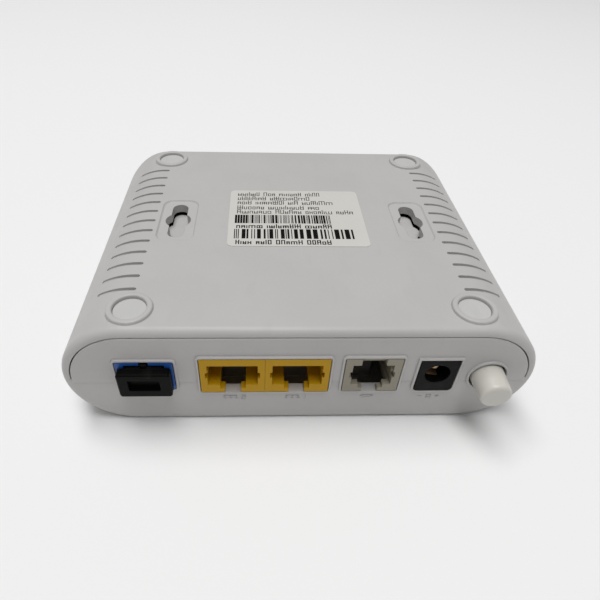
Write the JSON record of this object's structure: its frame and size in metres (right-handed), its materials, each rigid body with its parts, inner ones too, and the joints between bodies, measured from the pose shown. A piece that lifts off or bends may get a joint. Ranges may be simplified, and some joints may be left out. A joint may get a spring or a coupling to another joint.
{
  "type": "optical network terminal",
  "caption": "Small white fibre network terminal with round sides, a row of sockets and a latching power button, resting on its top cover.",
  "frame": {"origin": "centre of the case outline, without the button and the raised port frames, on the plane that the flat of the top cover lies on", "axes": "+Z out of the underside, because the unit lies on its top cover with the underside up; the port face looks towards -Y; +X runs from the fibre port to the power button"},
  "size_m": [0.113, 0.095, 0.0327],
  "materials": {
    "case_plastic": "fine matt moulded plastic",
    "button_plastic": "satin moulded plastic",
    "foot_plastic": "soft matt disc",
    "label_film": "printed film",
    "screw_steel": "zinc plated",
    "board_laminate": "green solder mask",
    "adapter_blue": "blue moulded plastic",
    "ceramic_white": "polished ceramic",
    "cap_black": "soft black plastic",
    "module_steel": "machined",
    "contact_gold": "gold plated",
    "socket_yellow": "yellow moulded plastic",
    "socket_grey": "warm grey moulded plastic",
    "inlet_black": "black moulded plastic",
    "contact_brass": "bare brass",
    "chip_black": "moulded epoxy",
    "sink_aluminium": "extruded",
    "pad_grey": "thermal putty",
    "capacitor_sleeve": "sleeved can",
    "choke_ferrite": "ferrite",
    "passive_ceramic": "fired ceramic",
    "led_lens": "clear lens",
    "guide_clear": "clear moulded plastic",
    "switch_black": "moulded plastic"
  },
  "bodies": {
    "case": {"underside_shell": "case_plastic", "top_cover": "case_plastic", "foot_pads": "foot_plastic", "case_screws": "screw_steel", "label_sticker": "label_film", "main_board": "board_laminate", "board_screws": "screw_steel", "sc_adapter": "adapter_blue", "ferrule_sleeve": "ceramic_white", "fibre_stub": "ceramic_white", "optical_module": "module_steel", "laser_can": "module_steel", "receiver_can": "module_steel", "module_leads": "contact_gold", "laser_driver": "chip_black", "lan_jack_1": "socket_yellow", "lan_jack_2": "socket_yellow", "lan_contacts_1": "contact_gold", "lan_contacts_2": "contact_gold", "lan_transformers": "chip_black", "phone_jack": "socket_grey", "phone_contacts": "contact_gold", "phone_line_chip": "chip_black", "dc_jack_body": "inlet_black", "dc_centre_pin": "contact_brass", "dc_spring_contact": "contact_brass", "power_regulators": "chip_black", "power_inductors": "choke_ferrite", "electrolytic_capacitors": "capacitor_sleeve", "switch_body": "switch_black", "main_processor": "chip_black", "thermal_pad": "pad_grey", "heat_sink": "sink_aluminium", "memory_chip": "chip_black", "flash_chip": "chip_black", "crystal": "module_steel", "chip_passives": "passive_ceramic", "status_leds": "led_lens", "light_guide": "guide_clear"},
    "button": {"button_cap": "button_plastic", "switch_plunger": "switch_black"},
    "cap": {"dust_cap": "cap_black"}
  },
  "joints": [
    {"name": "button_press", "type": "slide", "parent": "case", "child": "button", "axis": [0, 1, 0], "range_m": [0, 0.0028], "stiffness_N_per_m": 900, "springref_m": -0.001},
    {"name": "cap_pull", "type": "slide", "parent": "case", "child": "cap", "axis": [0, -1, 0], "range_m": [0, 0.012]}
  ]
}
